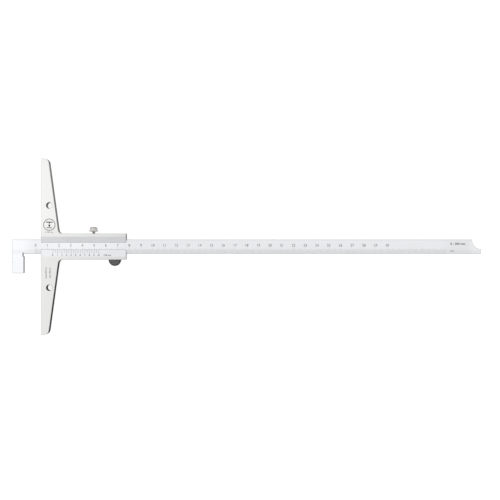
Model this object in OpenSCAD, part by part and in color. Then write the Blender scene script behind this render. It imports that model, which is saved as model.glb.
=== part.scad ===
// Vernier depth gauge with a hooked, reversible rule.
// The frame: X runs along the rule, away from the hook, and X = 0 is the measuring face of the bridge.
// Y = 0 is the rule's centreline, and the hook hangs towards -Y. Z = 0 is the back, and +Z is the scale side.

/* [Rule] */
// Length of the rule, from the hook's outer face to the tip
rule_len = 400; // [395:1:420]
// Width of the rule
rule_w = 12; // [11.5:0.5:12.5]
// Thickness of the rule
rule_t = 4; // [3.6:0.1:4]
// Thickness of the hook along the rule
hook_t = 10; // [8:0.5:12]
// How far the hook hangs below the rule's lower edge
hook_drop = 16.7; // [12:0.1:22]
// Width of the pointed tip at the rule's far end
tip_w = 3.8; // [2.5:0.1:4.5]
// Radius of the hollow that narrows the tip
tip_r = 7.6; // [6:0.1:8]
// Reading at rest: the gap between the hook and the measuring face
reading = 15; // [5:0.05:300]

/* [Bridge] */
// Length of the measuring face
bridge_len = 150; // [120:1:180]
// Width of the bridge at its ends
bridge_tip_w = 6.3; // [5.5:0.1:8]
// Width of the bridge where it meets the slider
bridge_root_w = 15; // [14:0.5:15]
// Radius of the outer corners at the bridge's ends
bridge_corner_r = 4.2; // [2:0.1:4.5]
// Radius of the blend from the bridge into the slider
blend_r = 3.4; // [2:0.1:5]
// Diameter of the two holes for a bridge extension
bridge_hole_d = 5.2; // [4.2:0.1:5.6]
// Distance between those two holes
bridge_hole_gap = 70; // [60:1:90]
// Distance of the holes from the measuring face
bridge_hole_x = 7.1; // [6:0.1:7.2]

/* [Slider] */
// Length of the slider, measuring face included
slider_len = 72.4; // [72:0.1:85]
// Width of the slider
slider_w = 22.3; // [22:0.1:24]
// Thickness of the bridge and the slider
body_t = 8.5; // [8.5:0.1:10]
// Thickness of the back wall and of the back cover
back_t = 2.1; // [1.8:0.1:2.1]
// Height of the plain strip above the upper bevel
upper_strip = 2.75; // [2:0.05:3.5]
// Lower end of the upper bevel, above the rule's centreline
window_top = 3.45; // [3:0.05:4.5]
// Upper end of the vernier's bevel, below the centreline
window_bottom = 2.4; // [2:0.05:3]
// Where the vernier's bevel meets the flat face, below the centreline
vernier_foot = 8.6; // [8:0.05:9]
// Thickness of the two lips at their thin edges
lip_edge = 0.35; // [0.3:0.05:0.6]

/* [Clamp] */
// Distance of the clamp screw from the measuring face
clamp_x = 44.4; // [40:0.1:50]
// Diameter of the clamp screw's thread
clamp_d = 2.5; // [2:0.1:2.5]
// Diameter of the clamp screw's head
clamp_head_d = 7.4; // [6:0.1:8]
// Height of the clamp screw's head
clamp_head_h = 4.15; // [3.5:0.05:5]
// Bare neck between the slider and the head
clamp_neck = 1.6; // [1.3:0.1:3]

/* [Thumb roller] */
// Distance of the roller's axis from the measuring face
roller_x = 62.5; // [61:0.1:63]
// Diameter of the roller
roller_d = 10.5; // [9.5:0.1:10.5]
// Thickness of the roller
roller_t = 4; // [2.5:0.1:4]
// Number of teeth in the roller's knurl
roller_teeth = 52; // [24:1:60]
// Diameter of the roller's axle
axle_d = 1.6; // [1.2:0.1:1.8]

/* [Hidden] */
$fn = 64;
over = 1;                                       // how far a cutter runs past the face that it cuts

// Running clearances
slide_gap = 0.05;                               // on each side of the rule
thread_gap = 0.01;                              // between a seated screw and its hole
turn_gap = 0.05;                                // around a screw, pad or axle that turns or slides

// Rule
hook_x = -reading;                              // the hook's inner, measuring face
rule_x0 = hook_x - hook_t;
rule_x1 = rule_x0 + rule_len;
rule_z0 = back_t + slide_gap;
rule_z1 = rule_z0 + rule_t;
rule_mid_z = (rule_z0 + rule_z1) / 2;
relief_deep = 0.9;                              // undercut at the root of the hook's inner face
relief_r = 0.4;
relief_low = 2.2;                               // how far the undercut runs down the hook
relief_high = 0.7;                              // and up into the rule

// Slider and channel
slider_half = slider_w / 2;
bridge_half = bridge_len / 2;
cover_x0 = 16;                                  // the monobloc's own back wall ends here
channel_z1 = rule_z1 + slide_gap;
channel_y0 = -rule_w / 2 - slide_gap;           // the lower wall, which guides the rule
gib_t = 0.4;
gib_room = 0.9;                                 // between the rule's top edge and the channel's wall
channel_y1 = rule_w / 2 + gib_room;
gib_y0 = rule_w / 2 + slide_gap;
gib_y1 = gib_y0 + gib_t;
gib_inset = 1;                                  // from each end of the slider
gib_side = 0.15;                                // from the rule's faces to the strip's edges
upper_wall_y = (channel_y1 + slider_half) / 2;
lower_wall_y = (channel_y0 - slider_half) / 2;

// Screws that hold the back cover
cover_screw_d = 1.6;
cover_head_d = 2.9;
cover_head_h = 0.65;
cover_head_sink = 0.1;                          // heads sit this far below the back
cover_screw_end = 5.5;                          // height that the thread reaches
cover_screw_x = [19.6, slider_len - 1.8];
slot_w = 0.4;                                   // screwdriver slots
slot_deep = 0.3;

// Grub screws that press the gib strip
gib_screw_d = 2;
gib_screw_x = [25, 61];
gib_screw_sink = 0.3;                           // below the slider's top edge
gib_screw_slot_deep = 0.7;

// Clamp screw and its pressure pad
clamp_hole_d = clamp_d + 2 * turn_gap;
pad_d = clamp_d - 2 * turn_gap;
pad_lift = 0.15;                                // free play above the gib strip at rest
pad_h = 1.6;
pad_y0 = gib_y1 + pad_lift;
pad_y1 = pad_y0 + pad_h;
clamp_tip_y = pad_y1 + turn_gap;
clamp_head_y = slider_half + clamp_neck;
clamp_flutes = 24;
flute_r = 0.4;

// Thumb roller, which runs on the rule's lower edge
roller_r = roller_d / 2;
roller_y = -rule_w / 2 - slide_gap - roller_r;
roller_z0 = rule_mid_z - roller_t / 2;
roller_z1 = rule_mid_z + roller_t / 2;
shoulder_t = 0.3;                               // plain shoulders beside the knurl
shoulder_step = 0.35;
tooth_deep = 0.16;
tooth_flat = 0.4;                               // share of a tooth's pitch that is its flat top
bush_wall = 0.85;
bush_r = axle_d / 2 + turn_gap + bush_wall;

// Spring fork that carries the roller
ear_t = 0.5;
ear_gap = 0.1;                                  // between an ear and the roller
ear_r = 4.3;
fork_z0 = roller_z0 - ear_gap - ear_t;
fork_z1 = roller_z1 + ear_gap + ear_t;
web_t = 0.5;
web_x0 = roller_x - roller_r - 0.45 - web_t;
web_y0 = roller_y + 0.7;
web_y1 = roller_y + 3.2;
leaf_x0 = 45;
leaf_w = 3.4;
leaf_t = 0.5;
leaf_y1 = -rule_w / 2 - 3.5;                    // the leaf lies against this face of the frame
leaf_y0 = leaf_y1 - leaf_t;
fork_screw_x = [47.4, 52.6];
fork_screw_d = 1.6;
fork_head_d = 2.8;
fork_head_h = 0.9;
fork_screw_len = 2.6;

// Space cut in the slider for the roller and its fork
roller_room = 0.35;                             // around the roller
roller_slot_x0 = web_x0 - 0.3;
roller_slot_x1 = roller_x + roller_r + roller_room;
ear_room_y = 0.2;                               // beyond the ears' round ends
leaf_room = 0.2;                                // at the edges of the leaf

// Slant of the bridge's back edge from the Y axis, in degrees
slant = atan2(bridge_root_w - bridge_tip_w, bridge_half - slider_half);

// Distance from a corner of the slanted edge to where a radius touches it
function touch(r) = r / tan((90 + slant) / 2);

// Points on an arc, both ends included
arc_steps = 16;
function arc(centre, r, from, to) = [
    for (i = [0 : arc_steps]) let (a = from + (to - from) * i / arc_steps) centre + r * [cos(a), sin(a)]
];

// Outline of the +Y arm of the bridge and of the slider's upper edge, from the measuring face round
function upper_outline() =
    let (
        end_centre = [bridge_tip_w - touch(bridge_corner_r), bridge_half - bridge_corner_r],
        root_centre = [bridge_root_w + touch(blend_r), slider_half + blend_r]
    )
    concat(
        [[0, bridge_half]],
        arc(end_centre, bridge_corner_r, 90, slant),
        arc(root_centre, blend_r, 180 + slant, 270),
        [[slider_len, slider_half]]
    );

// The same points below the centreline, in the opposite order
function mirrored(points) = [for (i = [len(points) - 1 : -1 : 0]) [points[i].x, -points[i].y]];

// A cylinder along +Y
module rod_y(x, y0, y1, z, d) {
    translate([x, y0, z]) rotate([-90, 0, 0]) cylinder(d = d, h = y1 - y0);
}

// Rule with its hook, ground from one bar
module hook_rule() {
    tip_centre = [rule_x1, -rule_w / 2 + tip_w + tip_r];
    color("gainsboro")
    difference() {
        translate([0, 0, rule_z0]) linear_extrude(rule_t) difference() {
            union() {
                translate([rule_x0, -rule_w / 2]) square([rule_len, rule_w]);
                translate([rule_x0, -rule_w / 2 - hook_drop]) square([hook_t, hook_drop + over]);
            }
            translate(tip_centre) circle(tip_r, $fn = 96);
        }
        // undercut in the inner corner, round at both ends
        for (y = [-rule_w / 2 - relief_low + relief_r, -rule_w / 2 + relief_high - relief_r])
            translate([hook_x - relief_deep + relief_r, y, rule_z0 - over])
                cylinder(r = relief_r, h = rule_t + 2 * over);
        translate([hook_x - relief_deep, -rule_w / 2 - relief_low + relief_r, rule_z0 - over])
            cube([2 * relief_r, relief_low + relief_high - 2 * relief_r, rule_t + 2 * over]);
        translate([hook_x - relief_deep + relief_r, -rule_w / 2 - relief_low, rule_z0 - over])
            cube([relief_deep - relief_r + 0.001, relief_low + relief_high, rule_t + 2 * over]);
    }
}

// The window that bares the scale, as a cutter along the whole slider: its sides are the two bevels
module scale_window() {
    lip_z = channel_z1 + lip_edge;
    bevel_y = slider_half - upper_strip;
    profile = [
        [-window_bottom, rule_z1 - over], [-window_bottom, lip_z], [-vernier_foot, body_t],
        [-vernier_foot, body_t + over], [bevel_y, body_t + over], [bevel_y, body_t],
        [window_top, lip_z], [window_top, rule_z1 - over]
    ];
    translate([-over, 0, 0]) rotate([90, 0, 90]) linear_extrude(slider_len + 2 * over) polygon(profile);
}

// Room for the fork's ears and web, deeper than the roller's at the front and at the back
module ear_room() {
    translate([roller_slot_x0, -slider_half - over, fork_z0 - slide_gap])
        cube([roller_slot_x1 - roller_slot_x0, slider_half + over + roller_y + ear_r + ear_room_y,
            fork_z1 - fork_z0 + 2 * slide_gap]);
}

// Room for the thumb roller, its fork and the fork's leaf
module roller_room_cut() {
    translate([roller_slot_x0, -slider_half - over, back_t - over])
        cube([roller_slot_x1 - roller_slot_x0, slider_half + over + channel_y0 + over,
            roller_z1 + slide_gap - back_t + over]);
    ear_room();
    translate([leaf_x0 - 0.5, -slider_half - over, rule_mid_z - leaf_w / 2 - leaf_room])
        cube([roller_slot_x0 - leaf_x0 + 1, slider_half + over + leaf_y1, leaf_w + 2 * leaf_room]);
    for (x = fork_screw_x)
        rod_y(x, leaf_y1 - over, leaf_y1 + fork_screw_len, rule_mid_z, fork_screw_d);
}

// Bridge and slider, milled from one piece
module base_frame() {
    color("silver")
    difference() {
        linear_extrude(body_t) polygon(concat(upper_outline(), mirrored(upper_outline())));
        translate([-over, channel_y0, back_t])
            cube([slider_len + 2 * over, channel_y1 - channel_y0, channel_z1 - back_t]);
        translate([cover_x0, -slider_half - over, -over])
            cube([slider_len, slider_w + 2 * over, back_t + over]);
        scale_window();
        for (side = [-1, 1])
            translate([bridge_hole_x, side * bridge_hole_gap / 2, -over])
                cylinder(d = bridge_hole_d, h = body_t + 2 * over);
        for (x = cover_screw_x, y = [upper_wall_y, lower_wall_y])
            translate([x, y, back_t - over]) cylinder(d = cover_screw_d, h = cover_screw_end + over - back_t);
        for (x = gib_screw_x)
            rod_y(x, channel_y1 - over, slider_half + over, rule_mid_z, gib_screw_d);
        rod_y(clamp_x, channel_y1 - over, slider_half + over, rule_mid_z, clamp_hole_d);
        roller_room_cut();
    }
}

// Plate that closes the slider's back
module back_cover() {
    color("lightgray")
    difference() {
        translate([cover_x0, -slider_half, 0]) cube([slider_len - cover_x0, slider_w, back_t]);
        ear_room();
        for (x = cover_screw_x, y = [upper_wall_y, lower_wall_y])
            translate([x, y, 0]) {
                translate([0, 0, -over]) cylinder(d = cover_screw_d + 2 * turn_gap, h = back_t + 2 * over);
                translate([0, 0, -0.01]) cylinder(d1 = cover_head_d + 0.3, d2 = cover_screw_d + 2 * turn_gap,
                    h = cover_head_sink + cover_head_h + 0.06);
            }
    }
}

// Four countersunk screws, heads at the back
module cover_screws() {
    color("dimgray")
    for (x = cover_screw_x, y = [upper_wall_y, lower_wall_y])
        translate([x, y, cover_head_sink]) difference() {
            union() {
                cylinder(d1 = cover_head_d, d2 = cover_screw_d - 2 * thread_gap, h = cover_head_h);
                cylinder(
                    d = cover_screw_d - 2 * thread_gap,
                    h = cover_screw_end - cover_head_sink - slot_deep
                );
            }
            rotate(45) translate([-cover_head_d, -slot_w / 2, -over])
                cube([2 * cover_head_d, slot_w, over + slot_deep]);
        }
}

// Flat spring strip between the rule's top edge and the slider
module gib_strip() {
    color("peru")
    translate([gib_inset, gib_y0, rule_z0 + gib_side])
        cube([slider_len - 2 * gib_inset, gib_t, rule_t - 2 * gib_side]);
}

// Two slotted grub screws that set the strip's pressure
module gib_screws() {
    screw_y1 = slider_half - gib_screw_sink;
    color("dimgray")
    for (x = gib_screw_x)
        difference() {
            rod_y(x, gib_y1, screw_y1, rule_mid_z, gib_screw_d - 2 * thread_gap);
            translate([x - slot_w / 2, screw_y1 - gib_screw_slot_deep, rule_mid_z - gib_screw_d])
                cube([slot_w, gib_screw_slot_deep + over, 2 * gib_screw_d]);
        }
}

// Knurled thumb screw that locks the slider to the rule
module clamp_screw() {
    head_r = clamp_head_d / 2;
    waist = 0.45;                               // depth of the groove round the head
    color("silver")
    translate([clamp_x, 0, rule_mid_z]) rotate([-90, 0, 0]) {
        translate([0, 0, clamp_tip_y]) cylinder(d = clamp_d, h = clamp_head_y - clamp_tip_y + 0.5);
        translate([0, 0, clamp_head_y]) difference() {
            rotate_extrude($fn = 96) polygon([
                [0, 0], [head_r - 0.5, 0], [head_r, 0.4], [head_r, 0.46 * clamp_head_h],
                [head_r - waist, 0.54 * clamp_head_h], [head_r - waist, 0.6 * clamp_head_h],
                [head_r - 0.15, 0.7 * clamp_head_h], [head_r - 0.15, 0.84 * clamp_head_h],
                [head_r - 0.8, clamp_head_h], [head_r - 1.3, clamp_head_h],
                [head_r - 1.6, clamp_head_h - 0.3], [0, clamp_head_h - 0.3]
            ]);
            for (i = [0 : clamp_flutes - 1])
                rotate(360 * i / clamp_flutes) translate([head_r + 0.15, 0, -over])
                    cylinder(r = flute_r, h = clamp_head_h + 2 * over, $fn = 24);
        }
    }
}

// Brass pad between the clamp screw and the gib strip
module clamp_pad() {
    color("goldenrod") rod_y(clamp_x, pad_y0, pad_y1, rule_mid_z, pad_d);
}

// Outline of the roller's straight knurl: flat-topped teeth with V grooves between them
function knurl_outline() = [
    for (i = [0 : roller_teeth - 1])
        let (
            step = 360 / roller_teeth,
            start = i * step,
            end = start + tooth_flat * step,
            groove = start + (1 + tooth_flat) / 2 * step
        )
        each [
            roller_r * [cos(start), sin(start)],
            roller_r * [cos(end), sin(end)],
            (roller_r - tooth_deep) * [cos(groove), sin(groove)]
        ]
];

// Knurled friction roller, with a plain shoulder on both sides of the knurl
module thumb_roller() {
    color("black")
    translate([roller_x, roller_y, roller_z0]) difference() {
        union() {
            translate([0, 0, shoulder_t]) linear_extrude(roller_t - 2 * shoulder_t) polygon(knurl_outline());
            cylinder(r = roller_r - shoulder_step, h = roller_t);
        }
        translate([0, 0, -over]) cylinder(r = bush_r + thread_gap, h = roller_t + 2 * over);
    }
}

// Bush pressed into the roller
module roller_bush() {
    color("goldenrod")
    translate([roller_x, roller_y, roller_z0]) difference() {
        cylinder(r = bush_r, h = roller_t);
        translate([0, 0, -over]) cylinder(d = axle_d + 2 * turn_gap, h = roller_t + 2 * over);
    }
}

// Pin that the roller turns on
module roller_axle() {
    color("lightgray")
    translate([roller_x, roller_y, fork_z0]) cylinder(d = axle_d, h = fork_z1 - fork_z0);
}

// One ear of the fork: a disc behind the roller's rim, with a tongue back to the web
module fork_ear(z) {
    translate([0, 0, z]) difference() {
        union() {
            translate([roller_x, roller_y, 0]) cylinder(r = ear_r, h = ear_t);
            translate([web_x0, web_y0, 0]) cube([roller_x - web_x0, web_y1 - web_y0, ear_t]);
        }
        translate([roller_x, roller_y, -over]) cylinder(d = axle_d + 2 * thread_gap, h = ear_t + 2 * over);
    }
}

// Blackened spring fork: two ears, a web, and a leaf that is screwed to the slider's lower wall
module roller_fork() {
    color("darkslategray")
    difference() {
        union() {
            fork_ear(fork_z0);
            fork_ear(fork_z1 - ear_t);
            translate([web_x0, web_y0, fork_z0]) cube([web_t, web_y1 - web_y0, fork_z1 - fork_z0]);
            translate([leaf_x0, leaf_y0, rule_mid_z - leaf_w / 2])
                cube([web_x0 + web_t - leaf_x0, leaf_t, leaf_w]);
        }
        for (x = fork_screw_x)
            rod_y(x, leaf_y0 - over, leaf_y1 + over, rule_mid_z, fork_screw_d + 2 * turn_gap);
    }
}

// Two small pan-head screws that hold the fork's leaf
module fork_screws() {
    color("dimgray")
    for (x = fork_screw_x)
        difference() {
            union() {
                rod_y(x, leaf_y0 - fork_head_h, leaf_y0, rule_mid_z, fork_head_d);
                rod_y(x, leaf_y0 - 0.1, leaf_y1 + fork_screw_len - 0.1, rule_mid_z,
                    fork_screw_d - 2 * thread_gap);
            }
            translate([x - fork_head_d, leaf_y0 - fork_head_h - over, rule_mid_z - slot_w / 2])
                cube([2 * fork_head_d, over + slot_deep, slot_w]);
        }
}

hook_rule();
base_frame();
back_cover();
cover_screws();
gib_strip();
gib_screws();
clamp_screw();
clamp_pad();
thumb_roller();
roller_bush();
roller_axle();
roller_fork();
fork_screws();
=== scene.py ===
# %% [markdown]
# # A vernier depth gauge with a hooked rule
# A bridge with two long arms stands on a workpiece, and a steel rule slides through it. The rule's scale
# and the small vernier scale on the bridge give the depth to a twentieth of a millimetre.
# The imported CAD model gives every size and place. It is loaded first and is never moved: the pieces
# below are built round it, and each one rides on a CAD body, so that the joints carry it along.

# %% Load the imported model
import math

import bmesh
import bpy
from mathutils import Matrix, Vector


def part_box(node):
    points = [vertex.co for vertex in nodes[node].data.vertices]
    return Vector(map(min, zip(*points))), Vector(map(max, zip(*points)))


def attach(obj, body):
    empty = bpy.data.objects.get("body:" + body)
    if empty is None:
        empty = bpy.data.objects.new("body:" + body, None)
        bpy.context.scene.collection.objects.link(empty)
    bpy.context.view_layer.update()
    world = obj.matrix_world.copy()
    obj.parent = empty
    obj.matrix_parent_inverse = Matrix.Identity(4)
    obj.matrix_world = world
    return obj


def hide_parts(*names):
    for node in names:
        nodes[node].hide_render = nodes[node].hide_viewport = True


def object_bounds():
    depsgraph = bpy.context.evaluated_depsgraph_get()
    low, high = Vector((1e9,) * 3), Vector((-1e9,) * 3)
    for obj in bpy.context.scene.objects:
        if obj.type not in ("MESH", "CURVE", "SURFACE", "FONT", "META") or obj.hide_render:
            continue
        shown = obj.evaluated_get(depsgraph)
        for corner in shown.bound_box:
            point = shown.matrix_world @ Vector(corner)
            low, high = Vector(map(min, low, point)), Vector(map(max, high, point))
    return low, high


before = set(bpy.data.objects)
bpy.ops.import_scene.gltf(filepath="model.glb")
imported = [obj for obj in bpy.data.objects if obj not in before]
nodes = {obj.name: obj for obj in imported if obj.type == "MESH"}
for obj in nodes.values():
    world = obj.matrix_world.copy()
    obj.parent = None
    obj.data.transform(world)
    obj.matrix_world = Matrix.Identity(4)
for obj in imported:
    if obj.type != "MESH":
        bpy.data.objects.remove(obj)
cad_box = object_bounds()
print("CAD nodes:", ", ".join(sorted(nodes)))

# %% [markdown]
# ## Modelling in millimetres
# The engraved lines of a scale are about a tenth of a millimetre wide. bmesh merges and bevels with
# tolerances that suit shapes of about one unit, so on a mesh in metres it would lose such detail.
# Every piece is therefore modelled in millimetres and brought to metres as its last step. Its object
# then sits at the origin with its place in its mesh, just as the CAD nodes do.

# %% Finish a piece
MM = 0.001


def in_mm(node):
    """The lowest and the highest corner of a CAD node, in millimetres."""
    low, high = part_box(node)
    return low / MM, high / MM


def finish_piece(bm, name, body, finishes, stands_for=(), sharp=30):
    """Turns a bmesh in millimetres into an object in metres that rides on a body."""
    bmesh.ops.scale(bm, vec=Vector((MM, MM, MM)), verts=bm.verts)
    mesh = bpy.data.meshes.new(name)
    bm.to_mesh(mesh)
    bm.free()
    if "custom_normal" in mesh.attributes:
        mesh.attributes.remove(mesh.attributes["custom_normal"])
    for finish in finishes:
        mesh.materials.append(finish)
    mesh.shade_smooth()
    mesh.set_sharp_from_angle(angle=math.radians(sharp))
    piece = bpy.data.objects.new(name, mesh)
    bpy.context.scene.collection.objects.link(piece)
    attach(piece, body)
    if stands_for:
        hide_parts(*stands_for)
    print(f"{name}: {len(mesh.polygons)} faces, rides on {body}")
    return piece


# %% [markdown]
# ## Finishes
# The gauge is almost all one stainless steel, and its parts differ by how they were worked: the front
# is satin, the rule is ground along its length, the measuring face is lapped, and the side walls are
# a little rougher, with a darker colour that is painted shade. One shader with Metallic at 1 makes all
# the steel. What changes is the tone, the roughness and the grain, which is noise in Object coordinates
# stretched along the way that the tool went. A fine bump of the same noise breaks up the reflections.

# %% Metal with a grain
def new_finish(name, colour, roughness, metallic=1.0):
    """A material with the plain values of its shader set, and its node tree and shader."""
    material = bpy.data.materials.new(name)
    material.use_nodes = True
    shader = material.node_tree.nodes["Principled BSDF"]
    shader.inputs["Base Color"].default_value = (*colour, 1)
    shader.inputs["Roughness"].default_value = roughness
    shader.inputs["Metallic"].default_value = metallic
    return material, material.node_tree, shader


def tinted(colour, factor):
    """A colour made lighter or darker, as a node socket takes it."""
    return (*(min(1.0, c * factor) for c in colour), 1)


def grained(name, colour, roughness, grains, contrast=0.06, swing=0.05, bump=0.15, metallic=1.0):
    """A finish with grain. grains is how many there are to the millimetre along X, Y and Z."""
    material, tree, shader = new_finish(name, colour, roughness, metallic)
    new, link = tree.nodes.new, tree.links.new
    place = new("ShaderNodeTexCoord")
    mapping = new("ShaderNodeMapping")
    mapping.inputs["Scale"].default_value = [g / MM for g in grains]
    noise = new("ShaderNodeTexNoise")
    noise.inputs["Scale"].default_value = 1
    noise.inputs["Detail"].default_value = 3
    link(place.outputs["Object"], mapping.inputs["Vector"])
    link(mapping.outputs["Vector"], noise.inputs["Vector"])

    tone = new("ShaderNodeValToRGB")
    tone.name = "tone"
    tone.color_ramp.elements[0].position = 0.3
    tone.color_ramp.elements[0].color = tinted(colour, 1 - contrast)
    tone.color_ramp.elements[1].position = 0.7
    tone.color_ramp.elements[1].color = tinted(colour, 1 + contrast)
    link(noise.outputs["Fac"], tone.inputs["Fac"])
    link(tone.outputs["Color"], shader.inputs["Base Color"])

    gloss = new("ShaderNodeMapRange")
    gloss.inputs["To Min"].default_value = roughness - swing
    gloss.inputs["To Max"].default_value = roughness + swing
    link(noise.outputs["Fac"], gloss.inputs["Value"])
    link(gloss.outputs["Result"], shader.inputs["Roughness"])

    relief = new("ShaderNodeBump")
    relief.inputs["Strength"].default_value = bump
    relief.inputs["Distance"].default_value = 0.02 * MM
    link(noise.outputs["Fac"], relief.inputs["Height"])
    link(relief.outputs["Normal"], shader.inputs["Normal"])
    return material


# %% [markdown]
# A long bright part doesn't look one even tone in a studio, because each stretch of it reflects
# something else: a lamp, a wall, the ceiling. Real cards and lamps round the stage could give that.
# Here part of it is painted in instead, which is quicker and less honest: a ramp along one axis
# multiplies the grain's colour, and its stops are in millimetres. Painted light stays on the piece
# from every side, so it's right only for the camera at the end of this file.

# %% Let a tone drift along a part
def drifting(material, axis, stops):
    """Multiplies a grained material's colour by factors at places along an axis, in millimetres."""
    tree = material.node_tree
    new, link = tree.nodes.new, tree.links.new
    start, end = stops[0][0], stops[-1][0]
    place = new("ShaderNodeTexCoord")
    split = new("ShaderNodeSeparateXYZ")
    along = new("ShaderNodeMapRange")
    along.inputs["From Min"].default_value = start * MM
    along.inputs["From Max"].default_value = end * MM
    ramp = new("ShaderNodeValToRGB")
    for i, (where, factor) in enumerate(stops):
        t = (where - start) / (end - start)
        last = i == len(stops) - 1
        stop = ramp.color_ramp.elements[i] if i == 0 or last else ramp.color_ramp.elements.new(t)
        stop.position = t
        stop.color = (factor, factor, factor, 1)
    blend = new("ShaderNodeMix")
    blend.data_type = "RGBA"
    blend.blend_type = "MULTIPLY"
    blend.inputs["Factor"].default_value = 1
    shader = tree.nodes["Principled BSDF"]
    colour_from = shader.inputs["Base Color"].links[0].from_socket
    link(place.outputs["Object"], split.inputs["Vector"])
    link(split.outputs[axis], along.inputs["Value"])
    link(along.outputs["Result"], ramp.inputs["Fac"])
    link(colour_from, blend.inputs["A"])
    link(ramp.outputs["Color"], blend.inputs["B"])
    link(blend.outputs["Result"], shader.inputs["Base Color"])
    return material


# %% [markdown]
# Two more touches. From above, the side walls are seen at a glancing angle, where a metal reflects
# nearly everything. Specular Tint is a metal's colour near its outline, and a dark one keeps the
# walls dark there, which is painted shade. And the grooves of a knurl get painted shade too: the mesh
# of a knurled piece carries a "groove" attribute, which is 1 at the bottom of each groove, and the
# finish darkens with it.

# %% Painted shade on walls and in grooves
def dulled(material, tint):
    """Darkens what a finish reflects at a glancing angle, as painted shade."""
    material.node_tree.nodes["Principled BSDF"].inputs["Specular Tint"].default_value = (tint, tint, tint, 1)
    return material


def grimy(material, groove_shade):
    """Paints shade on a grained material where its mesh's groove attribute is high."""
    tree = material.node_tree
    new, link = tree.nodes.new, tree.links.new
    depth = new("ShaderNodeAttribute")
    depth.attribute_name = "groove"
    blend = new("ShaderNodeMix")
    blend.data_type = "RGBA"
    blend.inputs["B"].default_value = (*groove_shade, 1)
    shader = tree.nodes["Principled BSDF"]
    colour_from = shader.inputs["Base Color"].links[0].from_socket
    link(depth.outputs["Fac"], blend.inputs["Factor"])
    link(colour_from, blend.inputs["A"])
    link(blend.outputs["Result"], shader.inputs["Base Color"])
    return material


# %% [markdown]
# Now the finishes themselves, one to each way of working the steel, and a few for brass, bronze, black
# and ink. The drift of the bridge's wall is the strongest. It paints shade on the end of one arm, three
# times darker than the end of the other, though both are the same steel and were worked the same way.

# %% The finishes of this gauge
RULE_GRAIN = (0.05, 9, 9)
rule_front = grained("rule_front", (0.66, 0.665, 0.68), 0.36, RULE_GRAIN, contrast=0.05)
# rule_wall, frame_wall and broken_edge are darker than the fronts by painted shade, not another steel.
rule_wall = grained("rule_wall", (0.3, 0.3, 0.31), 0.42, RULE_GRAIN, contrast=0.1)
frame_front = grained("frame_front", (0.655, 0.655, 0.645), 0.42, (6, 6, 6), contrast=0.05)
frame_slope = grained("frame_slope", (0.6, 0.605, 0.62), 0.38, (0.2, 9, 9), contrast=0.04)
frame_wall = grained("frame_wall", (0.26, 0.26, 0.25), 0.45, (7, 7, 0.5), contrast=0.12)
broken_edge = grained("broken_edge", (0.46, 0.46, 0.455), 0.4, (5, 5, 5), contrast=0.08)
frame_inside = grained("frame_inside", (0.42, 0.42, 0.42), 0.4, (0.3, 7, 7), contrast=0.08)
lapped_face = grained("lapped_face", (0.66, 0.66, 0.67), 0.2, (3, 2, 2), contrast=0.03, swing=0.03, bump=0.05)
plate_steel = grained("plate_steel", (0.55, 0.55, 0.55), 0.34, (0.1, 10, 10), contrast=0.08)
screw_steel = grained("screw_steel", (0.36, 0.35, 0.34), 0.3, (8, 8, 8), contrast=0.12)
lock_chrome = grained("lock_chrome", (0.63, 0.62, 0.59), 0.2, (4, 4, 4), contrast=0.05, swing=0.04, bump=0.06)
polished_dome = grained("polished_dome", (0.42, 0.415, 0.4), 0.12, (3, 3, 3), contrast=0.05, swing=0.03,
                        bump=0.04)
gib_bronze = grained("gib_bronze", (0.52, 0.3, 0.14), 0.33, (0.2, 8, 8), contrast=0.1)
brass = grained("brass", (0.62, 0.45, 0.17), 0.28, (5, 5, 5), contrast=0.08)
pin_steel = grained("pin_steel", (0.14, 0.14, 0.14), 0.22, (6, 6, 6), contrast=0.06)
roller_black = grained("roller_black", (0.03, 0.03, 0.032), 0.42, (7, 7, 7), contrast=0.25, metallic=0.3)
fork_black = grained("fork_black", (0.078, 0.078, 0.078), 0.46, (8, 8, 8), contrast=0.2, metallic=0.4)
mark_ink = grained("mark_ink", (0.02, 0.02, 0.022), 0.6, (10, 10, 10), contrast=0.3, metallic=0.0)
mark_ink.node_tree.nodes["Principled BSDF"].inputs["Specular IOR Level"].default_value = 0.2
# Painted light and shade: tones that drift along the rule and the bridge.
drifting(rule_front, "X", [(-25, 1.18), (-16, 1.16), (-6, 1.05), (8, 1.08), (20, 1.11), (60, 1.05), (72, 1.0),
                           (340, 1.02), (350, 0.97), (364, 0.97), (368, 1.04)])
drifting(rule_front, "Y", [(-7, 0.965), (-6, 0.92), (-3, 0.92), (-2.8, 0.975), (6, 0.985)])
drifting(frame_front, "X", [(0, 1.03), (15, 1.0), (60, 0.92), (72, 0.88)])
drifting(frame_front, "Y", [(-75, 0.97), (-16, 0.98), (-11, 0.965), (12, 1.0), (20, 1.06), (50, 1.05),
                            (75, 1.02)])
drifting(frame_slope, "X", [(0, 1.05), (16, 1.05), (22, 1.0), (52, 1.0), (60, 0.975), (72, 0.975)])
drifting(frame_slope, "Y", [(-8.6, 0.955), (-2, 0.955), (3, 1.09), (8.4, 1.09)])
drifting(frame_wall, "Y", [(-75, 0.45), (-12, 0.5), (12, 1.3), (75, 1.35)])
# Painted shade: walls and chamfers reflect darker at a glancing angle.
dulled(rule_wall, 0.3)
dulled(broken_edge, 0.3)
dulled(frame_wall, 0.2)
# Painted shade in the grooves of the knurls.
grimy(lock_chrome, (0.2, 0.19, 0.175))
grimy(roller_black, (0.015, 0.015, 0.015))
print(len(bpy.data.materials), "materials")

# %% [markdown]
# ## The rule and the bridge
# Both are ground from solid steel, and their CAD shapes are already right. Real edges are never
# perfectly sharp, though: a toolmaker breaks each with a small flat chamfer, and without it metal
# looks like paper. A Bevel modifier could add it, but the CAD mesh is loose triangles, so a copy is
# merged first, its flat triangles are joined, and bmesh bevels the edges that turn sharply. The
# finish of each face follows from the way that it looks. Chamfers get a darker finish than the front,
# painted shade which outlines the steel.

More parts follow.
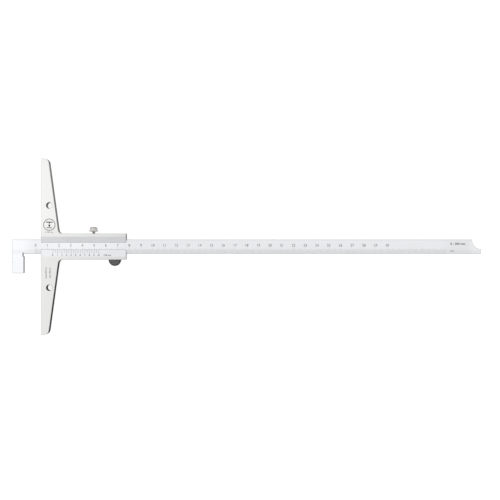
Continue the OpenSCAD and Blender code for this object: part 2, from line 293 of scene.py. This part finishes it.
# %% Copy a CAD node and break its edges
RULE_CHAMFER, BRIDGE_CHAMFER, HIDDEN_CHAMFER = 0.264, 0.22, 0.055
EVERYWHERE = (-100, 100)


def cad_copy(node):
    """A CAD node's mesh in millimetres, merged, with its flat triangles joined."""
    bm = bmesh.new()
    bm.from_mesh(nodes[node].data)
    bmesh.ops.scale(bm, vec=Vector((1 / MM,) * 3), verts=bm.verts)
    bmesh.ops.remove_doubles(bm, verts=bm.verts, dist=0.0003)
    bmesh.ops.dissolve_limit(bm, angle_limit=math.radians(0.3), verts=bm.verts, edges=bm.edges)
    return bm


def break_edges(bm, width, segments=1, over=30, between=EVERYWHERE, clamp=True):
    """Bevels the edges that turn by more than an angle and lie between two heights.

    With clamp, every chamfer of the call is only as wide as the tightest place in it allows."""
    low, high = between
    turned = [e for e in bm.edges if len(e.link_faces) == 2 and e.calc_face_angle() > math.radians(over)
              and all(low < v.co.z < high for v in e.verts)]
    bmesh.ops.bevel(bm, geom=turned, offset=width, offset_type="OFFSET", segments=segments, profile=0.5,
                    affect="EDGES", clamp_overlap=clamp, material=-1)


# %% [markdown]
# The rule is one flat bar with its hook. Only the faces that lie flat are ground bright, and the walls
# and chamfers share a darker finish, whose dark colour is painted shade.

# %% The rule with its hook
RULE_FLAT, RULE_SIDE = range(2)
rule_high = in_mm("hook_rule")[1]
blade = cad_copy("hook_rule")
break_edges(blade, RULE_CHAMFER)
for face in blade.faces:
    face.material_index = RULE_FLAT if abs(face.normal.z) > 0.9 else RULE_SIDE
finish_piece(blade, "rule_blade", "rule", [rule_front, rule_wall], ["hook_rule"], sharp=15)

# %% [markdown]
# The bridge is the part where bevel's clamp gets in the way: with it, chamfers of 0.22 mm come out at
# 0.02 mm when the whole bridge is bevelled at once, and at 0.06 mm when its front is bevelled alone,
# too narrow to see. So the front goes first, without the clamp. The back and the inside keep it, and
# their edges stay almost sharp. All three calls ask for a turn of more than 50 degrees, so that they
# leave each other's chamfers, which turn by 45, as they are.

# %% The bridge and its slider
FRONT, SLOPE, WALL, INSIDE, LAPPED, EDGE = range(6)
SQUARE_ON = 0.99
SKIN = 0.5
CHANNEL_HALF, CHANNEL_FLOOR = 7, 2
frame_low, frame_high = in_mm("base_frame")


def frame_finish(face):
    """Which finish a face of the bridge has, from its normal and its place."""
    centre, normal = face.calc_center_median(), face.normal
    if abs(normal.z) > SQUARE_ON:
        on_a_skin = centre.z > frame_high.z - SKIN or centre.z < frame_low.z + SKIN
        return FRONT if on_a_skin else INSIDE
    if normal.z > 0.8:
        return SLOPE
    if normal.x < -SQUARE_ON and centre.x < frame_low.x + 0.1:
        return LAPPED
    in_channel = abs(centre.y) < CHANNEL_HALF and centre.z > CHANNEL_FLOOR
    if abs(normal.z) > 0.3 and not in_channel:
        return EDGE
    return INSIDE if in_channel else WALL


bridge = cad_copy("base_frame")
break_edges(bridge, BRIDGE_CHAMFER, over=50, between=(rule_high.z + 0.2, 100), clamp=False)
break_edges(bridge, BRIDGE_CHAMFER, over=50, between=(-1, frame_low.z + 0.01))
break_edges(bridge, HIDDEN_CHAMFER, over=50)
for face in bridge.faces:
    face.material_index = frame_finish(face)
finish_piece(bridge, "slider_bridge", "frame",
             [frame_front, frame_slope, frame_wall, frame_inside, lapped_face, broken_edge],
             ["base_frame"], sharp=15)

# %% [markdown]
# ## Back plate, gib, fork and small screws
# These parts are simple, and their CAD shapes hold all that shows of them: screw slots, countersinks
# and holes. Their edges get a small round, which is a bevel of two segments. The gib is a spring
# bronze strip that takes up the play beside the rule, and two slotted grub screws press on it. The
# fork is a black leaf spring with two ears that carry the thumb roller.

# %% Small parts from their CAD shapes
SMALL_PARTS = [
    ("back_plate", "back_cover", "frame", plate_steel, "cover_steel", 0.1),
    ("plate_screws", "cover_screws", "frame", screw_steel, "screw_steel", 0.04),
    ("gib_blade", "gib_strip", "frame", gib_bronze, "spring_bronze", 0.06),
    ("gib_set_screws", "gib_screws", "frame", screw_steel, "screw_steel", 0.06),
    ("spring_fork", "roller_fork", "frame", fork_black, "fork_black", 0.07),
    ("fork_fixings", "fork_screws", "frame", screw_steel, "screw_steel", 0.06),
]
for piece, node, body, finish, slot, width in SMALL_PARTS:
    part = cad_copy(node)
    break_edges(part, width, segments=2)
    finish_piece(part, piece, body, [finish], [node])

# %% [markdown]
# ## Turned parts
# The clamp screw, its pad, the thumb roller, its bush and its pin came off a lathe, so each is a
# profile spun round an axis. The profile is a short list of points, a radius and a place along the
# axis, that begins and ends on the axis, or is a closed loop round a bore.
# Knurls are then pressed in: the points of the band are moved inwards, groove by groove, as they go
# round. Cutting the grooves with booleans would give the same shape, but with a worse mesh.

# %% Spin a profile
def spun(profile, steps, closed=False):
    """A turned shape round Z. profile is (radius, height) pairs; a closed one goes round a bore."""
    bm = bmesh.new()
    points = [bm.verts.new((r, 0, h)) for r, h in profile]
    pairs = list(zip(points, points[1:]))
    if closed:
        pairs.append((points[-1], points[0]))
    edges = [bm.edges.new(p) for p in pairs]
    bmesh.ops.spin(bm, geom=points + edges, cent=(0, 0, 0), axis=(0, 0, 1), angle=math.tau,
                   steps=steps, use_merge=True, use_duplicate=False)
    bmesh.ops.remove_doubles(bm, verts=bm.verts, dist=0.0005)
    bmesh.ops.recalc_face_normals(bm, faces=bm.faces)
    return bm


def press_grooves(bm, count, depth, share, from_radius):
    """Moves points beyond a radius inwards in V grooves, each a share of the pitch wide."""
    groove = bm.verts.layers.float.new("groove")
    for vert in bm.verts:
        radius = math.hypot(vert.co.x, vert.co.y)
        if radius < from_radius:
            continue
        turn = math.atan2(vert.co.y, vert.co.x) / math.tau * count % 1
        vert[groove] = max(0, 1 - abs(turn - 0.5) / (share / 2))
        vert.co.xy *= (radius - depth * vert[groove]) / radius


def stand_on_y(bm, x, z):
    """Turns a shape round Z so that it stands on the Y axis instead, at x and z."""
    bmesh.ops.transform(bm, matrix=Matrix.Translation((x, 0, z)) @ Matrix.Rotation(-math.pi / 2, 4, "X"),
                        verts=bm.verts)


# %% [markdown]
# The clamp screw is one long profile: thread, plain neck, a knurled band to grip and a smooth round
# cap above it. Only the knurled band reaches far enough out for the grooves. The faces get their
# finish from how far along the axis they lie: dark steel on the shank, chrome on the knurl, and a
# smoother polish on the cap.

# %% Clamp screw
clamp_low, clamp_high = in_mm("clamp_screw")
clamp_x, mid_z = (clamp_low.x + clamp_high.x) / 2, (clamp_low.z + clamp_high.z) / 2
head_r = (clamp_high.x - clamp_low.x) / 2
HEAD_H, CAP_FROM = 4.15, 2.4
head_y = clamp_high.y - HEAD_H
SHANK_R, THREAD_PITCH, THREAD_DEEP, THREAD_TURNS = 1.25, 0.45, 0.2, 8
profile = [(0, clamp_low.y), (SHANK_R - 0.3, clamp_low.y), (SHANK_R - THREAD_DEEP, clamp_low.y + 0.15)]
for i in range(THREAD_TURNS):
    y = clamp_low.y + 0.3 + i * THREAD_PITCH
    profile += [(SHANK_R, y + THREAD_PITCH / 2), (SHANK_R - THREAD_DEEP, y + THREAD_PITCH)]
profile += [
    (SHANK_R - THREAD_DEEP, head_y), (head_r - 0.9, head_y), (head_r - 0.3, head_y + 0.15),
    (head_r, head_y + 0.5), (head_r, head_y + 1.75), (head_r - 0.15, head_y + 2.0),
    (head_r - 0.55, head_y + 2.15), (head_r - 0.6, head_y + CAP_FROM), (head_r - 0.3, head_y + 2.7),
    (head_r - 0.3, head_y + 2.9), (head_r - 0.55, head_y + 3.45), (head_r - 1.0, head_y + 3.9),
    (head_r - 1.6, head_y + HEAD_H), (head_r - 1.9, head_y + HEAD_H), (head_r - 2.05, head_y + 4.0),
    (0, head_y + 4.0)
]
FLUTES, FLUTE_DEEP = 24, 0.28
GROOVE_SHARE = 0.6
STEPS_A_GROOVE = 8
lock = spun(profile, FLUTES * STEPS_A_GROOVE)
press_grooves(lock, FLUTES, FLUTE_DEEP, GROOVE_SHARE, head_r - 0.25)
KNURL, CAP, SHANK = range(3)
for face in lock.faces:
    along = face.calc_center_median().z
    face.material_index = CAP if along > head_y + CAP_FROM else KNURL if along > head_y - 0.01 else SHANK
stand_on_y(lock, clamp_x, mid_z)
finish_piece(lock, "lock_screw", "clamp_screw", [lock_chrome, polished_dome, screw_steel], ["clamp_screw"],
             sharp=38)

# %% [markdown]
# Between the screw and the gib lies a small brass pad. A soft pad spreads the force and doesn't mark
# the strip, and it's a plain disc with both of its edges broken.

# %% The pad under the clamp screw
PAD_EASE = 0.2
pad_low, pad_high = in_mm("clamp_pad")
pad_r = (pad_high.x - pad_low.x) / 2
pad = spun([(0, pad_low.y), (pad_r - PAD_EASE, pad_low.y), (pad_r, pad_low.y + PAD_EASE),
            (pad_r, pad_high.y - PAD_EASE), (pad_r - PAD_EASE, pad_high.y), (0, pad_high.y)], 48)
stand_on_y(pad, clamp_x, mid_z)
finish_piece(pad, "lock_pad", "clamp_pad", [brass], ["clamp_pad"])

# %% [markdown]
# The thumb roller is a disc with a knurled rim between two plain shoulders. It is the same on both
# sides, so one half of its profile is written down and the other half is its mirror image. The profile
# is a closed loop, because a bush goes through its middle, and a pin through the bush.

# %% Thumb roller
roller_low, roller_high = in_mm("thumb_roller")
roller_x, roller_y = (roller_low.x + roller_high.x) / 2, (roller_low.y + roller_high.y) / 2
roller_r = (roller_high.y - roller_low.y) / 2
bush_low, bush_high = in_mm("roller_bush")
bush_r = (bush_high.x - bush_low.x) / 2
TEETH, TOOTH_DEEP, SHOULDER = 52, 0.16, 0.3
rim_r = roller_r - 0.35
half_side = [
    (bush_r, 0), (bush_r + 0.5, 0), (bush_r + 0.6, 0.12), (rim_r - 0.7, 0.12), (rim_r - 0.6, 0),
    (rim_r - 0.1, 0), (rim_r, 0.1), (rim_r, SHOULDER), (roller_r - 0.1, SHOULDER), (roller_r, SHOULDER + 0.12)
]
side = [(r, roller_low.z + h) for r, h in half_side]
other_side = [(r, roller_high.z - h) for r, h in reversed(half_side)]
roller = spun(side + other_side, TEETH * STEPS_A_GROOVE, closed=True)
press_grooves(roller, TEETH, TOOTH_DEEP, GROOVE_SHARE, rim_r + 0.05)
bmesh.ops.translate(roller, vec=(roller_x, roller_y, 0), verts=roller.verts)
finish_piece(roller, "drive_roller", "roller", [roller_black], ["thumb_roller"])

# %% [markdown]
# The brass bush is a tube that turns with the roller on a steel pin, and the pin is fixed in the fork.
# There is a little play between the two, as in a real bearing. Each end of the pin has the shallow
# dimple of a lathe's centre.

# %% Bush and pin of the roller
pin_low, pin_high = in_mm("roller_axle")
pin_r = (pin_high.x - pin_low.x) / 2
EASE, PLAY = 0.12, 0.05
DIMPLE_R, DIMPLE_DEEP, DIMPLE_RIM = 0.3, 0.06, 0.42
bore_r = pin_r + PLAY
bush = spun([(bore_r, bush_low.z + EASE), (bore_r + EASE, bush_low.z), (bush_r - EASE, bush_low.z),
             (bush_r, bush_low.z + EASE), (bush_r, bush_high.z - EASE), (bush_r - EASE, bush_high.z),
             (bore_r + EASE, bush_high.z), (bore_r, bush_high.z - EASE)], 64, closed=True)
bmesh.ops.translate(bush, vec=(roller_x, roller_y, 0), verts=bush.verts)
finish_piece(bush, "roller_bearing", "roller", [brass], ["roller_bush"])
pin = spun([(0, pin_low.z + DIMPLE_DEEP), (DIMPLE_R, pin_low.z + DIMPLE_DEEP), (DIMPLE_RIM, pin_low.z),
            (pin_r - 0.1, pin_low.z), (pin_r, pin_low.z + 0.1), (pin_r, pin_high.z - 0.1),
            (pin_r - 0.1, pin_high.z), (DIMPLE_RIM, pin_high.z), (DIMPLE_R, pin_high.z - DIMPLE_DEEP),
            (0, pin_high.z - DIMPLE_DEEP)], 48)
bmesh.ops.translate(pin, vec=(roller_x, roller_y, 0), verts=pin.verts)
finish_piece(pin, "roller_pin", "frame", [pin_steel], ["roller_axle"])

# %% [markdown]
# ## Scales
# The lines and figures are engraved and filled with black. Cutting some 400 grooves with booleans
# would be slow and leave a bad mesh, so each line is a thin bar of ink that is sunk in the steel and
# stands a hundredth of a millimetre proud: enough to hide the steel under it, too little to see.
# The lines of one scale are a single piece. A plane's matrix says where its surface lies, so the same
# helpers mark the flat rule and the sloping edge of the window.

# %% Bars and lettering of ink
INK_DEEP, INK_PROUD = 0.04, 0.012
INK_Z = INK_PROUD - INK_DEEP / 2
FIGURE_SHARE = 0.7


def add_bar(bm, plane, x, y_from, y_to, width):
    """A straight line of ink along Y on a plane."""
    place = Matrix.Translation((x, (y_from + y_to) / 2, INK_Z))
    size = Matrix.Diagonal((width, abs(y_to - y_from), INK_DEEP, 1))
    bmesh.ops.create_cube(bm, size=1, matrix=plane @ place @ size)


def lettering(bm, plane, labels, height, turn=0, bold=0.0):
    """Centres each text on its x and y in a plane, as raised ink. Figures are about height tall."""
    size = height / FIGURE_SHARE
    texts = []
    for words, x, y in labels:
        curve = bpy.data.curves.new("label", "FONT")
        curve.body = words
        curve.size = size
        curve.align_x, curve.align_y = "CENTER", "CENTER"
        curve.extrude = INK_DEEP / 2
        curve.offset = bold
        curve.resolution_u = 3
        text = bpy.data.objects.new("label", curve)
        bpy.context.scene.collection.objects.link(text)
        texts.append((text, x, y))
    bpy.context.view_layer.update()
    graph = bpy.context.evaluated_depsgraph_get()
    for text, x, y in texts:
        mesh = bpy.data.meshes.new_from_object(text.evaluated_get(graph))
        mesh.transform(plane @ Matrix.Translation((x, y, INK_Z)) @ Matrix.Rotation(turn, 4, "Z"))
        bm.from_mesh(mesh)
        bpy.data.meshes.remove(mesh)
    for text, x, y in texts:
        curve = text.data
        bpy.data.objects.remove(text)
        bpy.data.curves.remove(curve)
    bmesh.ops.remove_doubles(bm, verts=bm.verts, dist=0.0005)


# %% [markdown]
# The rule has a line at each millimetre, a longer one at each fifth and the longest at each tenth. They
# rise from its lower edge, and the figures above them count centimetres. The lines run on for 50 mm
# beyond the last figure, because at full depth the vernier needs lines beside all of its 39 mm.

# %% Scale of the rule
rule_plane = Matrix.Translation((0, 0, rule_high.z))
ZERO_X, LAST_LINE, LINE = -5.0, 350, 0.08
TENTH_TOP, FIFTH_TOP, LINE_TOP = -0.7, -1.45, -2.1
line_foot = 0.2 - rule_high.y
rule_marks = bmesh.new()
for mm in range(LAST_LINE + 1):
    top = TENTH_TOP if mm % 10 == 0 else FIFTH_TOP if mm % 5 == 0 else LINE_TOP
    add_bar(rule_marks, rule_plane, ZERO_X + mm, line_foot, top, LINE)
finish_piece(rule_marks, "rule_marks", "rule", [mark_ink])

rule_figures = bmesh.new()
lettering(rule_figures, rule_plane, [(str(cm), ZERO_X + 10 * cm, 1.0) for cm in range(31)], height=2.2)
finish_piece(rule_figures, "rule_figures", "rule", [mark_ink])

rule_note = bmesh.new()
lettering(rule_note, rule_plane, [("0 - 300 mm", 355.2, 2.3)], height=1.9, bold=0.05)
lettering(rule_note, rule_plane, [("mm", 350.2, -3.7)], height=1.6)
finish_piece(rule_note, "rule_note", "rule", [mark_ink])

# %% [markdown]
# The vernier has 20 divisions over 39 mm, so each one is 1.95 mm and falls 0.05 mm short of two
# divisions of the rule. It starts at 10 mm from the measuring face and lies on the slope, whose two
# edges are found in the bridge's own mesh.

# %% Vernier scale
slopes = [f for f in nodes["base_frame"].data.polygons if 0.8 < f.normal.z < 0.99 and f.normal.y > 0.2]
corners = [nodes["base_frame"].data.vertices[i].co / MM for f in slopes for i in f.vertices]
lip = max(corners, key=lambda c: c.y)
foot = min(corners, key=lambda c: c.y)
slope_angle = math.atan2(lip.z - foot.z, lip.y - foot.y)
slope_plane = Matrix.Translation((0, lip.y, lip.z)) @ Matrix.Rotation(slope_angle, 4, "X")
stretch = 1 / math.cos(slope_angle)
print(f"vernier slope: lip at Y {lip.y:.2f}, foot at Y {foot.y:.2f}, {math.degrees(slope_angle):.1f} degrees")


def down_slope(y):
    """The place on the slope's plane of a point at this Y."""
    return (y - lip.y) * stretch


VERNIER_X, DIVISION, DIVISIONS, VERNIER_LINE = 10.0, 1.95, 20, 0.155
LONG_END, SHORT_END, FIGURES_Y = -6.2, -5.2, -7.4
vernier_marks = bmesh.new()
for i in range(DIVISIONS + 1):
    end = LONG_END if i % 2 == 0 else SHORT_END
    add_bar(vernier_marks, slope_plane, VERNIER_X + i * DIVISION, down_slope(lip.y - 0.3), down_slope(end),
            VERNIER_LINE)
finish_piece(vernier_marks, "vernier_marks", "frame", [mark_ink])

vernier_figures = bmesh.new()
figures = [(str(n), VERNIER_X + 2 * n * DIVISION, down_slope(FIGURES_Y)) for n in range(11)]
lettering(vernier_figures, slope_plane, figures, height=1.35, bold=0.04)
lettering(vernier_figures, slope_plane, [("0.05 mm", 56.5, down_slope(FIGURES_Y))], height=1.25, bold=0.03)
finish_piece(vernier_figures, "vernier_figures", "frame", [mark_ink])

# %% [markdown]
# ## Markings on the bridge
# The upper arm has a round badge. It's a plain ring round the draughtsman's sign for a depth, which is
# a bar with an arrow down from it to a line. The ring is a small flat rectangle spun round, the
# strokes are bars, and the arrow's head is a three-sided circle with thickness. The lettering only
# says sizes.

# %% Badge and sizes
frame_plane = Matrix.Translation((0, 0, frame_high.z))
BADGE_X, BADGE_Y, BADGE_R, STROKE = 7.2, 18.6, 5.1, 0.5
low_z, high_z = INK_PROUD - INK_DEEP, INK_PROUD
badge = spun([(BADGE_R - STROKE, low_z), (BADGE_R, low_z), (BADGE_R, high_z), (BADGE_R - STROKE, high_z)],
             72, closed=True)
badge_plane = frame_plane @ Matrix.Translation((BADGE_X, BADGE_Y, 0))
bmesh.ops.transform(badge, matrix=badge_plane, verts=badge.verts)
across_plane = badge_plane @ Matrix.Rotation(math.pi / 2, 4, "Z")
add_bar(badge, across_plane, x=2.2, y_from=-2.9, y_to=2.9, width=0.8)
add_bar(badge, across_plane, x=-2.6, y_from=-2.2, y_to=2.2, width=0.6)
add_bar(badge, badge_plane, x=0, y_from=-1.0, y_to=2.0, width=0.6)
ARROW_TIP_Y = -2.2
arrow = bmesh.ops.create_circle(badge, cap_ends=True, radius=1.25, segments=3)["verts"]
bmesh.ops.rotate(badge, verts=arrow, matrix=Matrix.Rotation(math.pi, 3, "Z"))
low_point = min(v.co.y for v in arrow)
arrow_place = (BADGE_X, BADGE_Y + ARROW_TIP_Y - low_point, frame_high.z + low_z)
bmesh.ops.translate(badge, verts=arrow, vec=arrow_place)
arrow_face = list(set(f for v in arrow for f in v.link_faces))
raised = bmesh.ops.extrude_face_region(badge, geom=arrow_face)["geom"]
raised_verts = [g for g in raised if isinstance(g, bmesh.types.BMVert)]
bmesh.ops.translate(badge, vec=(0, 0, INK_DEEP), verts=raised_verts)
bmesh.ops.recalc_face_normals(badge, faces=badge.faces)
finish_piece(badge, "bridge_badge", "frame", [mark_ink])

sizes = bmesh.new()
lettering(sizes, frame_plane, [("0-300 mm", BADGE_X, 12.2)], height=1.2)
side_lines = [("travel 300 mm", 4.4, -22.2), ("base 150 mm", 7.7, -22.2)]
lettering(sizes, frame_plane, side_lines, height=1.15, turn=math.pi / 2, bold=0.03)
finish_piece(sizes, "bridge_sizes", "frame", [mark_ink])

# %% [markdown]
# ## Stage, light and camera
# The gauge lies on a plain floor that gives off some light of its own, as a light table does. That
# keeps it white beside the bright steel and leaves almost no shadow on it.

# %% Floor
FLOOR_SIZE, FLOOR_GAP = 6, 0.0001
floor_mesh = bmesh.new()
bmesh.ops.create_grid(floor_mesh, x_segments=1, y_segments=1, size=FLOOR_SIZE)
floor_data = bpy.data.meshes.new("floor")
floor_mesh.to_mesh(floor_data)
floor_mesh.free()
floor = bpy.data.objects.new("floor", floor_data)
floor.location.z = cad_box[0].z - FLOOR_GAP
bpy.context.scene.collection.objects.link(floor)
floor_glow = grained("floor_glow", (0.2, 0.2, 0.2), 0.7, (0.02, 0.02, 0.02), contrast=0.01, swing=0.02,
                     bump=0.0, metallic=0.0)
floor_shader = floor_glow.node_tree.nodes["Principled BSDF"]
floor_shader.inputs["Emission Color"].default_value = (1, 1, 1, 1)
floor_shader.inputs["Emission Strength"].default_value = 0.88
floor_data.materials.append(floor_glow)

# %% [markdown]
# Steel shows what it faces, and under an even light it would be one flat tone. The sky is therefore
# brightest overhead and darker towards the horizon, with more light on the side of +Y than on the
# other, so that the two slopes of the window differ from the flats beside them. The Z of a direction
# says how high it points, from 0 at the horizon to 1 overhead, and its Y says how far it leans over.

# %% Sky
world = bpy.data.worlds.new("studio")
bpy.context.scene.world = world
world.use_nodes = True
sky = world.node_tree
direction = sky.nodes.new("ShaderNodeTexCoord")
parts = sky.nodes.new("ShaderNodeSeparateXYZ")
sky.links.new(direction.outputs["Generated"], parts.inputs["Vector"])
height = sky.nodes.new("ShaderNodeMapRange")
height.interpolation_type = "SMOOTHSTEP"
HORIZON, ZENITH = 0.12, 1.25
DARK_BELOW, BRIGHT_ABOVE = -0.05, 0.6
SIDE_TILT = 0.3
height.inputs["From Min"].default_value = DARK_BELOW
height.inputs["From Max"].default_value = BRIGHT_ABOVE
height.inputs["To Min"].default_value = HORIZON
height.inputs["To Max"].default_value = ZENITH
sky.links.new(parts.outputs["Z"], height.inputs["Value"])
tilt = sky.nodes.new("ShaderNodeMath")
tilt.operation = "MULTIPLY_ADD"
tilt.inputs[1].default_value = SIDE_TILT
tilt.inputs[2].default_value = 1.0
sky.links.new(parts.outputs["Y"], tilt.inputs[0])
strength = sky.nodes.new("ShaderNodeMath")
strength.operation = "MULTIPLY"
sky.links.new(height.outputs["Result"], strength.inputs[0])
sky.links.new(tilt.outputs["Value"], strength.inputs[1])
sky.links.new(strength.outputs["Value"], sky.nodes["Background"].inputs["Strength"])
sky.nodes["Background"].inputs["Color"].default_value = (1, 1, 1, 1)

# %% [markdown]
# One weak square lamp adds a little soft light from the left. The camera looks straight down on the
# gauge from about a metre, and the Standard view shows the colours without a film look.

# %% Soft key light and camera
key = bpy.data.lights.new("key", "AREA")
key.shape = "SQUARE"
key.size = 0.7
key.energy = 2
key_object = bpy.data.objects.new("key", key)
key_object.location = (-0.9, 0.4, 0.9)
key_object.rotation_euler = (Vector((0.15, 0, 0)) - key_object.location).to_track_quat("-Z", "Y").to_euler()
bpy.context.scene.collection.objects.link(key_object)

camera = bpy.data.cameras.new("camera")
camera.sensor_width = 36
camera.lens = 80.2
camera_object = bpy.data.objects.new("camera", camera)
camera_object.location = (0.1779, -0.0029, 0.956)
bpy.context.scene.collection.objects.link(camera_object)
bpy.context.scene.camera = camera_object
bpy.context.scene.view_settings.view_transform = "Standard"
